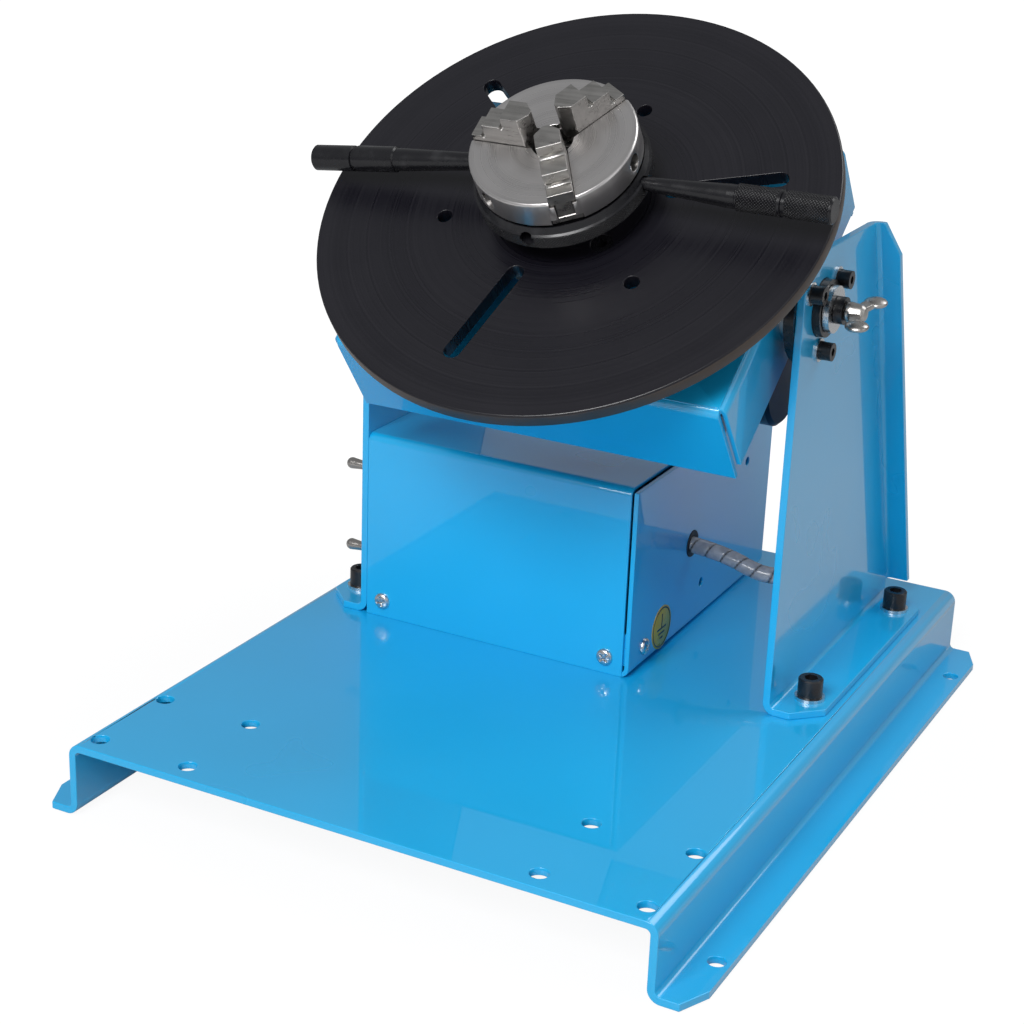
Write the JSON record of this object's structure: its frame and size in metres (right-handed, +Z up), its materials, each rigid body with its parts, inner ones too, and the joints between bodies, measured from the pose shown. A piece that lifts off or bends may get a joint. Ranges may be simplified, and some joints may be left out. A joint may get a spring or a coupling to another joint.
{
  "type": "tilting welding positioner",
  "caption": "Bench welding positioner: tilting motor-driven turntable with a small scroll chuck, between two bolted uprights on a folded base with a control box.",
  "frame": {"origin": "centre of the base footprint on the floor", "axes": "+X right along the tilt axis towards the wing screw, +Y to the back, +Z up"},
  "size_m": [0.27, 0.325, 0.2829],
  "materials": {
    "blue_paint": "gloss",
    "black_oxide": "satin",
    "disc_black": "satin",
    "ground_steel": "satin",
    "zinc": "bright",
    "stainless": "satin",
    "bronze": "satin",
    "carbon": "matt",
    "motor_black": "semi-gloss",
    "aluminium": "cast",
    "black_plastic": "moulded",
    "rubber": "matt",
    "cable_wrap": "translucent grey"
  },
  "bodies": {
    "base": {"base_plate": "blue_paint", "left_upright": "blue_paint", "right_upright": "blue_paint", "foot_bolts": "black_oxide", "spring_washers": "black_oxide", "flat_washers": "zinc", "foot_nuts": "zinc", "box_cover": "blue_paint", "box_side_plate": "blue_paint", "cover_clips": "zinc", "cover_screws": "zinc", "earth_screw": "zinc", "power_supply": "aluminium", "speed_controller": "aluminium", "toggle_bodies": "zinc", "toggle_nuts": "zinc", "speed_potentiometer": "zinc", "pedal_socket": "zinc", "power_inlet": "zinc", "cable_grommet": "rubber", "motor_cable": "cable_wrap", "left_pivot_housing": "black_oxide", "right_pivot_housing": "black_oxide", "pivot_bushes": "bronze", "pivot_flange_screws": "black_oxide", "friction_washers": "carbon", "clamp_washers": "zinc", "retaining_screw": "zinc"},
    "tilt_head": {"tilt_housing": "blue_paint", "left_pivot_shaft": "stainless", "right_pivot_shaft": "stainless", "bearing_housing": "aluminium", "housing_screws": "black_oxide", "motor_bracket": "zinc", "gearbox": "aluminium", "motor": "motor_black", "bracket_screws": "black_oxide", "brush_holder": "zinc", "brush": "carbon", "brush_spring": "stainless", "spindle_bearings": "ground_steel"},
    "turntable": {"table_spindle": "ground_steel", "turntable_disc": "disc_black", "table_screws": "zinc", "driven_gear": "ground_steel", "spindle_nut": "black_oxide", "chuck_base": "black_oxide", "chuck_body": "ground_steel", "chuck_screws": "black_oxide"},
    "pinion": {"drive_pinion": "ground_steel"},
    "scroll": {"scroll_ring": "black_oxide", "lever_bars": "black_oxide"},
    "jaw_1": {"jaw_1": "ground_steel"},
    "jaw_2": {"jaw_2": "ground_steel"},
    "jaw_3": {"jaw_3": "ground_steel"},
    "collar": {"clamp_collar": "black_oxide"},
    "wing": {"wing_screw": "stainless"},
    "power_toggle": {"power_lever": "stainless"},
    "direction_toggle": {"direction_lever": "stainless"},
    "knob": {"speed_knob": "black_plastic"}
  },
  "joints": [
    {"name": "tilt", "type": "hinge", "parent": "base", "child": "tilt_head", "pos_m": [0, 0.0199, 0.1907], "axis": [1, 0, 0], "range_deg": [-36.8, 53.2], "deforming": ["motor_cable"]},
    {"name": "turntable_spin", "type": "hinge", "parent": "tilt_head", "child": "turntable", "pos_m": [0, -0.00005, 0.21736], "axis": [0, -0.599, 0.8007], "continuous": true},
    {"name": "pinion_spin", "type": "hinge", "parent": "tilt_head", "child": "pinion", "pos_m": [0.03612, 0.02709, 0.18109], "axis": [0, -0.599, 0.8007], "continuous": true},
    {"name": "scroll_spin", "type": "hinge", "parent": "turntable", "child": "scroll", "pos_m": [0, -0.01364, 0.23554], "axis": [0, -0.599, 0.8007], "range_deg": [-478, 502]},
    {"name": "jaw_1_slide", "type": "slide", "parent": "turntable", "child": "jaw_1", "axis": [0.5, 0.6935, 0.5188], "range_m": [-0.0042, 0.004]},
    {"name": "jaw_2_slide", "type": "slide", "parent": "turntable", "child": "jaw_2", "axis": [-1, 0, 0], "range_m": [-0.0042, 0.004]},
    {"name": "jaw_3_slide", "type": "slide", "parent": "turntable", "child": "jaw_3", "axis": [0.5, -0.6935, -0.5188], "range_m": [-0.0042, 0.004]},
    {"name": "collar_slide", "type": "slide", "parent": "tilt_head", "child": "collar", "axis": [1, 0, 0], "range_m": [-0.0002, 0.0055]},
    {"name": "wing_turn", "type": "hinge", "parent": "collar", "child": "wing", "pos_m": [0.104, 0.0199, 0.1907], "axis": [1, 0, 0], "range_deg": [-60, 1900]},
    {"name": "power_switch", "type": "hinge", "parent": "base", "child": "power_toggle", "pos_m": [-0.098, 0.028, 0.085], "axis": [0, 1, 0], "range_deg": [-12, 12]},
    {"name": "direction_switch", "type": "hinge", "parent": "base", "child": "direction_toggle", "pos_m": [-0.098, 0.028, 0.047], "axis": [0, 1, 0], "range_deg": [-12, 12]},
    {"name": "speed_turn", "type": "hinge", "parent": "base", "child": "knob", "pos_m": [-0.1, 0.08, 0.08], "axis": [-1, 0, 0], "range_deg": [-140, 140]}
  ],
  "couplings": [
    {"joint": "pinion_spin", "follows": "turntable_spin", "ratio": -3},
    {"joint": "jaw_1_slide", "follows": "scroll_spin", "m_per_rad": -0.00047746},
    {"joint": "jaw_2_slide", "follows": "scroll_spin", "m_per_rad": -0.00047746},
    {"joint": "jaw_3_slide", "follows": "scroll_spin", "m_per_rad": -0.00047746},
    {"joint": "collar_slide", "follows": "wing_turn", "m_per_rad": 0.00015915}
  ]
}
